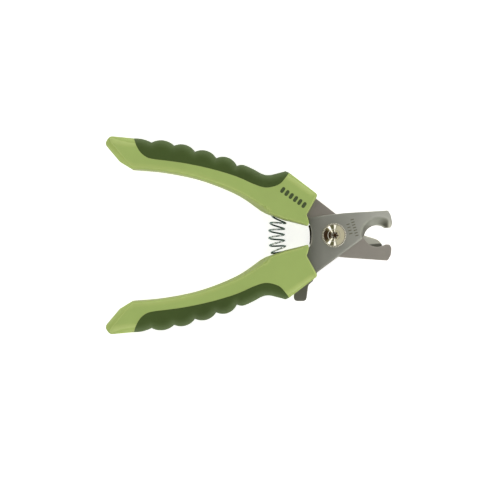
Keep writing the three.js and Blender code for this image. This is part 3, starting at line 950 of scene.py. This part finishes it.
def make_blade(name, side, node, notch, tip, arm_root, heel):
    """A stamped blade with a hollow-ground notch: the upper jaw's in front, the lower jaw's behind."""
    low, high = heights(node)
    ring = dense(mirrored(blade_outline(notch, tip, arm_root, heel), side), 0.6)
    wheel = (np.array(notch[0]) + GRIND_FROM_NOTCH) * [1, side]
    arm_root, heel = [np.array([x, side * y]) for x, y in (arm_root, heel)]

    def ground(xy):
        """Coned grind round the notch, and the long bevel beside the heel."""
        within = GRIND_RADIUS - np.linalg.norm(xy - wheel, axis=1)
        soft = np.interp(xy[:, 0], SOFTNESS_AT, GRIND_SOFTNESS)
        blend = np.clip((within + soft) / (2 * soft), 0, 1)
        hollow = GRIND_SLOPE * np.where(within > soft, within, soft * blend**2)
        away = to_edge(xy, np.array([arm_root, heel]), closed=False)[0][:, 0]
        bevel = HEEL_BEVEL_DEPTH * np.clip(1 - away / HEEL_BEVEL_WIDTH, 0, 1)
        return np.maximum(hollow, bevel)

    def fine(xy):
        return round_over(xy, ring)[0]

    def inner_drop(xy):
        return fine(xy) * INNER_EDGE_SHARES[side]

    def outer_drop(xy):
        """How far the outer face lies back, short of leaving the cutting edge too thin."""
        return np.minimum(np.maximum(ground(xy), fine(xy)), high - low - LEAST_EDGE)

    grind_rows = [np.array(arc(wheel, GRIND_RADIUS + out, 0, 360, 150)[:-1]) for out in GRIND_ROWS]
    direction = (heel - arm_root) / np.linalg.norm(heel - arm_root)
    offset = np.array([-direction[1], direction[0]]) * side * HEEL_BEVEL_WIDTH
    steps = np.linspace(-0.02, 1.02, 60)[:, None]
    bevel_rows = [arm_root + offset * share + (heel - arm_root) * steps for share in BEVEL_SHARES]
    points = np.concatenate([
        edge_rings(ring, ring, 3), *grind_rows, *bevel_rows, grid_points(ring, 1.6, 0.5),
    ])
    points = off_bore(points[is_inside(points, ring)])
    if side == UPPER:
        high -= FACE_RECESS
        drops = outer_drop, inner_drop
    else:
        drops = inner_drop, outer_drop
    return plate(
        name, ring, lambda xy: high - drops[0](xy), lambda xy: low + drops[1](xy), points,
        [bore_ring()], BLADE_SHARP,
    )


front_blade = make_blade("front_blade_ground", UPPER, "front_blade", **FRONT)
rear_blade = make_blade("rear_blade_ground", LOWER, "rear_blade", **REAR)
finish(front_blade, BLADE_STEEL, "front_lever", "blade_steel", "front_blade")
finish(rear_blade, REAR_STEEL, "rear_lever", "blade_steel", "rear_blade")

ETCH_COLUMNS = [((9.3, 8.0), (11.7, -0.1), 7), ((7.2, 5.6), (8.6, 0.9), 4)]  # start, end, bars
ETCH_LENGTH = 1.7
ETCH_WIDTH = 0.5
ETCH_TOP = heights("front_blade")[1] - 0.001
ETCH_BOTTOM = heights("front_blade")[1] - 0.06


def etched_bar(centre, along, across):
    """A plain bar across the row."""
    signs = ((-1, -1), (1, -1), (1, 1), (-1, 1))
    return dense([centre + across * a * ETCH_LENGTH / 2 + along * b * ETCH_WIDTH / 2 for a, b in signs], 2)


etched_bars = [ring for column in ETCH_COLUMNS for ring in row_of_bars(*column, etched_bar)]
for number, ring in enumerate(etched_bars, 1):
    bar = plate(f"etched_bar_{number}", ring, level(ETCH_TOP), level(ETCH_BOTTOM))
    finish(bar, ETCHING, "front_lever", "blade_steel")

# -------- safety stop

STOP_EDGE = (0.32, 0.32)
STOP_BACK_EDGE = (0.1, 0.1)
STOP_OUTLINE = [
    *edge(arc((0, 0), 8, 50, 135, 30), STOP_EDGE),
    *corners([(-10.4, 6.8, 1.0)], STOP_EDGE),
    *edge(smooth([
        (-12.8, 4.9), (-12.3, 3), (-12.05, 0.5), (-12.05, -2.6), (-12.2, -4.6), (-11, -7.4), (-10.4, -10.4),
        (-14, -17.4), (-19.8, -25),
    ], 48), STOP_BACK_EDGE, STOP_EDGE),
    *corners([
        (-20.2, -30.3, 0), (-20.4, -33.8, 2.2), (-13.9, -33.8, 2.2), (-12.9, -26.3, 0), (-12.5, -25.3, 0),
        (-10.6, -23.6, 0),
    ], STOP_EDGE),
    *edge(smooth([(-6, -15), (-1, -10.5), (8, -9.6), (17, -11.9), (24, -11.2)], 30), STOP_EDGE),
    *edge(smooth([
        (26, -8), (25.3, -5.4), (24.5, -3.8), (22.9, -2.2), (19.9, -1.1), (15.4, 0.3),
    ], 36), STOP_EDGE),
    *corners([(9.5, 3.8, 0)], STOP_EDGE),
]


def make_stop():
    """The stamped plate with the guard at one end and the finger lever at the other."""
    low, high = heights("safety_stop")
    ring = dense(rounded(STOP_OUTLINE), 0.7)
    points = off_bore(np.concatenate([edge_rings(ring, ring, 4), grid_points(ring, 2.0, 0.6)]))

    def drop(xy):
        return round_over(xy, ring)[0]

    return plate(
        "safety_stop_plate", ring, lambda xy: high - drop(xy), lambda xy: low + drop(xy), points,
        [bore_ring()],
    )


finish(make_stop(), STOP_STEEL, "stop", "stop_steel", "safety_stop")

# -------- pivot

NUT_RADIUS = 6.25
NUT_RIM = 5.35  # radius where the dish begins
TOOTH_DEPTH = 0.3  # inwards at the rim
TOOTH_DROP = 0.34  # down on the top
BOLT_RADIUS = 3.0
HEAD_RADIUS = 7.0
HEAD_FILLET = 0.4
HEAD_GAP = 0.05  # to the wave washer
WASHER_RADIUS = 6.0
WAVE = 0.1
CONE_SHEET = 0.3  # thickness of the tension washer


def make_cap_nut():
    """Plated nut with a serrated rim and a dished face."""
    low, high = heights("pivot_cap_nut")
    outside = [(0, 0.55), (0.04, 0.35), (0.14, 0.16), (0.3, 0.04), (0.5, 0)]
    lip = [(0.16, 0), (0.06, 0.03), (0, 0.12), (-0.05, 0.22), (-0.2, 0.28)]
    dish = [(4.6, 0.46), (4.0, 0.64), (3.4, 0.82), (3.05, 0.92), (3.02, 0.96), (3.02, 1.3)]
    profile = [
        (BORE_RADIUS, low), (NUT_RADIUS - 0.3, low), (NUT_RADIUS, low + 0.3),
        *[(NUT_RADIUS - inset, high - drop) for inset, drop in outside],
        *[(NUT_RIM + out, high - drop) for out, drop in lip],
        *[(radius, high - drop) for radius, drop in dish], (BORE_RADIUS, high - 1.4),
    ]

    def shape(radius, z, angle):
        tooth = 0.5 + 0.5 * math.cos(NUT_TEETH * angle)
        outer = max(0.0, min(1.0, (radius - NUT_RIM - 0.1) / 0.5))
        on_top = outer if z > high - 0.4 else 0.0
        return radius - TOOTH_DEPTH * outer * tooth**2, z - TOOTH_DROP * on_top * tooth**2

    return turned("cap_nut_serrated", profile, NUT_TEETH * 8, shape, sharp=40)


def make_bolt():
    """Bolt with a low smooth head behind; its front end goes on with the nut's dish."""
    low, high = heights("pivot_bolt")
    head_top = heights("wave_washer")[0] - HEAD_GAP
    centre = HEAD_RADIUS - HEAD_FILLET
    profile = [
        (0, low), (centre, low), *fillet(centre, low + HEAD_FILLET, HEAD_FILLET, -90, 0)[1:],
        *fillet(centre, head_top - HEAD_FILLET, HEAD_FILLET, 0, 90),
        (BOLT_RADIUS, head_top), (BOLT_RADIUS, high - 0.48), (BOLT_RADIUS - 0.01, high - 0.44),
        (2.3, high - 0.64), (1.5, high - 0.86), (0, high - 0.9),
    ]
    return turned("pivot_bolt_staked", profile, sharp=40)


STAKE_SHIFT = 0.4  # the punch went in a little off the middle
STAKE_LOBES = 6
STAKE_TURN = 0.5  # radians
STAKE_CORE = 0.75  # radius between the lobes
STAKE_LOBE = 1.25  # how much further the lobes reach
STAKE_EDGE = (0.25, 0.08)
STAKE_RIM = 0.55  # how far its rim and its bottom lie below the bolt's end
STAKE_BOTTOM = 1.1
STAKE_DISH = 0.1  # how much it is dished for each millimetre from the axis


def make_stake():
    """The star that the staking punch left on the bolt's end."""
    high = heights("pivot_bolt")[1]
    outline = []
    for k in range(120):
        angle = math.tau * k / 120
        lobe = (0.5 + 0.5 * math.cos(STAKE_LOBES * angle + STAKE_TURN)) ** 1.5
        reach = STAKE_CORE + STAKE_LOBE * lobe
        outline.append((STAKE_SHIFT + reach * math.cos(angle), reach * math.sin(angle), *STAKE_EDGE))
    ring = dense(outline, 0.3)
    points = np.concatenate([edge_rings(ring, ring, 3), grid_points(ring, 0.3, 0.3)])

    def top(xy):
        dish = STAKE_DISH * (2.5 - np.linalg.norm(xy, axis=1))
        return high - STAKE_RIM - dish - round_over(xy, ring)[0]

    return plate("pivot_bolt_star", ring, top, level(high - STAKE_BOTTOM), points)


def make_flat_ring(name, node, wave=0.0):
    """A washer with rounded edges, bent into three waves if asked."""
    low, high = heights(node)
    middle, half = (low + high) / 2, (high - low) / 2 - wave
    r = half * 0.8
    centre = WASHER_RADIUS - r
    profile = [
        (BORE_RADIUS, middle - half), (centre, middle - half),
        *fillet(centre, middle - half + r, r, -90, 0)[1:], *fillet(centre, middle + half - r, r, 0, 90),
        (BORE_RADIUS, middle + half),
    ]
    return turned(name, profile, shape=lambda radius, z, angle: (radius, z + wave * math.sin(3 * angle)))


def make_cone_ring():
    """A conical washer of one sheet thickness, with its outer corners blunted."""
    low, high = heights("tension_washer")
    top = low + CONE_SHEET
    profile = [
        (BORE_RADIUS, high - CONE_SHEET), (WASHER_RADIUS - 0.1, low), (WASHER_RADIUS, low + 0.08),
        (WASHER_RADIUS, top - 0.08), (WASHER_RADIUS - 0.1, top), (BORE_RADIUS, high),
    ]
    return turned("tension_washer_cone", profile)


finish(make_cap_nut(), NUT_NICKEL, "front_lever", "plated_steel", "pivot_cap_nut")
finish(make_bolt(), BOLT_STEEL, "front_lever", "bolt_steel", "pivot_bolt")
finish(make_stake(), STAKE_STEEL, "front_lever", "bolt_steel")
spacer_washer = make_flat_ring("spacer_washer_ring", "stop_spacer_washer")
wave_washer = make_flat_ring("wave_washer_ring", "wave_washer", WAVE)
finish(spacer_washer, WASHER_STEEL, "front_lever", "bolt_steel", "stop_spacer_washer")
finish(wave_washer, WASHER_STEEL, "front_lever", "spring_steel", "wave_washer")
finish(make_cone_ring(), NICKEL, "front_lever", "plated_steel", "tension_washer")

# -------- return spring

SPRING_HALF_ANGLE = math.radians(24.2)
COIL_RADIUS = 3.95
WIRE_RADIUS = 0.45
OPEN_TURNS = 6.5
CLOSED_TURNS = 1  # at each end
ALL_TURNS = OPEN_TURNS + 2 * CLOSED_TURNS
CLOSED_PITCH = math.radians(2.6)
OPEN_PITCH = 2 * (SPRING_HALF_ANGLE - CLOSED_TURNS * CLOSED_PITCH) / OPEN_TURNS
FIRST_SPIN = 0.12  # where on its turn the wire begins, in turns from the outermost place
TURN_STEPS = 30
WIRE_SIDES = 12


def spring_centre(turn):
    """The wire's centre after so many turns, in millimetres."""
    opened = min(max(turn - CLOSED_TURNS, 0), OPEN_TURNS)
    along = (turn - opened) * CLOSED_PITCH + opened * OPEN_PITCH - SPRING_HALF_ANGLE
    spin = math.tau * (turn + FIRST_SPIN)
    radius = SPRING_RADIUS + COIL_RADIUS * math.cos(spin)
    height = MID + COIL_RADIUS * math.sin(spin)
    return Vector((-radius * math.cos(along), radius * math.sin(along), height))


def make_spring():
    """Round wire along the coil, with flat ends."""
    count = int(ALL_TURNS * TURN_STEPS)
    verts, faces = [], []
    for i in range(count + 1):
        turn = ALL_TURNS * i / count
        here = spring_centre(turn)
        along = (spring_centre(turn + 0.01) - spring_centre(turn - 0.01)).normalized()
        angle = math.atan2(here.y, -here.x)
        axis = Vector((-SPRING_RADIUS * math.cos(angle), SPRING_RADIUS * math.sin(angle), MID))
        out = here - axis
        out = (out - along * out.dot(along)).normalized()
        side = along.cross(out)
        for k in range(WIRE_SIDES):
            a = math.tau * k / WIRE_SIDES
            verts.append(here + (out * math.cos(a) + side * math.sin(a)) * WIRE_RADIUS)
    for i in range(count):
        for k in range(WIRE_SIDES):
            j = (k + 1) % WIRE_SIDES
            a, b = i * WIRE_SIDES, (i + 1) * WIRE_SIDES
            faces.append((a + k, a + j, b + j, b + k))
    faces.append(tuple(range(WIRE_SIDES))[::-1])
    faces.append(tuple(count * WIRE_SIDES + k for k in range(WIRE_SIDES)))
    return to_object("return_spring_wire", verts, faces, 50)


spring = make_spring()
spring.data.materials.append(SPRING_WIRE)
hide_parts("return_spring")
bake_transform(spring)

# -------- floor, light and camera

FLOOR_REACH = 6.0
FLOOR_Z = -0.00005  # just under the clipper's back
FLOOR_GLOW = 0.72


def make_floor():
    """A pale matt floor that glows a little, as white as the photograph's ground."""
    mesh = bpy.data.meshes.new("floor")
    signs = ((-1, -1), (1, -1), (1, 1), (-1, 1))
    mesh.from_pydata([(x * FLOOR_REACH, y * FLOOR_REACH, FLOOR_Z) for x, y in signs], [], [(0, 1, 2, 3)])
    n = Nodes("floor_white")
    n.set(Base_Color=(0.86, 0.86, 0.86, 1), Roughness=0.9, Specular_IOR_Level=0.1)
    n.set(Emission_Color=(1, 1, 1, 1), Emission_Strength=FLOOR_GLOW)
    mesh.materials.append(n.material)
    put("floor", mesh)


TENT_LEAN = 0.3  # how much brighter the tent is to the right, and darker to the left


def make_world():
    """A soft tent, dim overhead and bright low down, with the slits that the cap nut mirrors."""
    world = bpy.data.worlds.new("tent")
    bpy.context.scene.world = world
    world.use_nodes = True
    tree = world.node_tree
    x, y, z = split_axes(tree, tree.nodes.new("ShaderNodeTexCoord").outputs["Generated"])
    tent = ramp(tree, z, [
        (0.0, 2.6, 2.6, 2.55), (0.15, 1.9, 1.9, 1.87), (0.35, 1.0, 1.0, 0.99), (0.6, 0.5, 0.5, 0.495),
        (0.8, 0.36, 0.36, 0.355), (1.0, 0.33, 0.33, 0.325),
    ])
    lean = math_node(tree, "MULTIPLY_ADD", x, TENT_LEAN, 1.0)
    angle = math_node(tree, "ARCTAN2", math_node(tree, "ABSOLUTE", y), x)
    half_turns = math_node(tree, "DIVIDE", angle, math.pi)
    slits = ramp(tree, half_turns, [
        (0.0, 0.04, 0.022, 0.012), (0.15, 0.05, 0.035, 0.02), (0.19, 0.16, 0.14, 0.08),
        (0.24, 0.2, 0.19, 0.12), (0.262, 1.6), (0.315, 1.6), (0.34, 0.14, 0.14, 0.08),
        (0.45, 0.16, 0.16, 0.09), (0.47, 1.5), (0.515, 1.5), (0.54, 0.38, 0.38, 0.3),
        (0.6, 0.68, 0.66, 0.53), (1.0, 0.78, 0.75, 0.6),
    ])
    band = ramp(tree, z, [(0.6, 0), (0.68, 1), (0.9, 1), (0.95, 0)])
    background = tree.nodes["Background"]
    tree.links.new(mix_node(tree, band, tent, slits), background.inputs["Color"])
    tree.links.new(lean, background.inputs["Strength"])


FRAME_WIDTH = 255 * MM  # what the view takes in at the front blade's height
CAMERA_RISE = 700 * MM
SENSOR_WIDTH = 36
VIEW_CENTRE = (-42.8 * MM, -7.5 * MM)
VIEW_PLANE = heights("front_blade")[1] * MM


def make_camera():
    """A camera straight above, as in the photograph."""
    data = bpy.data.cameras.new("camera")
    data.sensor_width = SENSOR_WIDTH
    data.lens = SENSOR_WIDTH * CAMERA_RISE / FRAME_WIDTH
    data.clip_start = 0.01
    data.clip_end = 50
    camera = put("camera", data)
    camera.location = (*VIEW_CENTRE, VIEW_PLANE + CAMERA_RISE)
    bpy.context.scene.camera = camera


make_floor()
make_world()
make_camera()
bpy.context.scene.view_settings.view_transform = "Standard"
